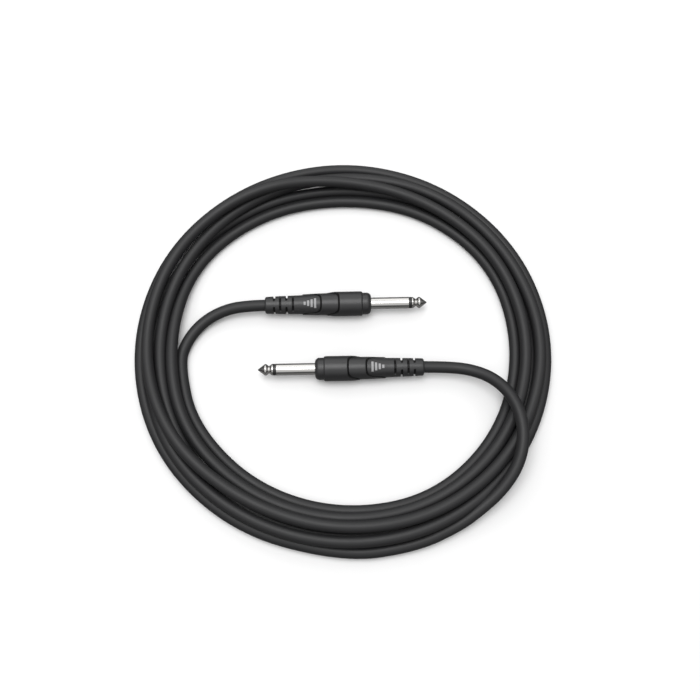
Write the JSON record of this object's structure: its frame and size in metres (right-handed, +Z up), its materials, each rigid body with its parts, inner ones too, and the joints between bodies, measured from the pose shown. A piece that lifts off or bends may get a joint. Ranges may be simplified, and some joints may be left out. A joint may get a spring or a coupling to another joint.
{
  "type": "instrument cable",
  "caption": "Coaxial cable wound in a loose flat coil, with a straight moulded mono jack plug on each end lying inside the coil.",
  "frame": {"origin": "on the surface the cable lies on, under the middle of the coil's outline", "axes": "+Z up out of the flat coil; +X along plug A from its boot towards its tip, within 1.2 degrees; +Y across the two plugs, from plug B to plug A"},
  "size_m": [0.2253, 0.2253, 0.0198],
  "materials": {
    "jacket": "matte soft PVC",
    "mould": "satin moulded PVC",
    "nickel": "polished nickel plate",
    "ring_plastic": "smooth",
    "fibre": "pressed fibre",
    "tinned_brass": "tinned",
    "copper": "bare wire",
    "dielectric": "smooth"
  },
  "bodies": {
    "root": {"plug_a_tip": "nickel", "plug_a_insulator": "ring_plastic", "plug_a_sleeve": "nickel", "plug_a_washer": "fibre", "plug_a_tip_lug": "tinned_brass", "plug_a_ground_lug": "tinned_brass", "plug_a_jacket_end": "jacket", "plug_a_braid": "copper", "plug_a_dielectric": "dielectric", "plug_a_conductor": "copper", "plug_a_core_mould": "mould", "plug_a_boot": "mould", "plug_a_middle_shell": "mould", "plug_a_front_shell": "mould", "plug_b_tip": "nickel", "plug_b_insulator": "ring_plastic", "plug_b_sleeve": "nickel", "plug_b_washer": "fibre", "plug_b_tip_lug": "tinned_brass", "plug_b_ground_lug": "tinned_brass", "plug_b_jacket_end": "jacket", "plug_b_braid": "copper", "plug_b_dielectric": "dielectric", "plug_b_conductor": "copper", "plug_b_core_mould": "mould", "plug_b_boot": "mould", "plug_b_middle_shell": "mould", "plug_b_front_shell": "mould", "coil": "jacket", "lead_a": "jacket", "lead_b": "jacket"}
  },
  "joints": []
}
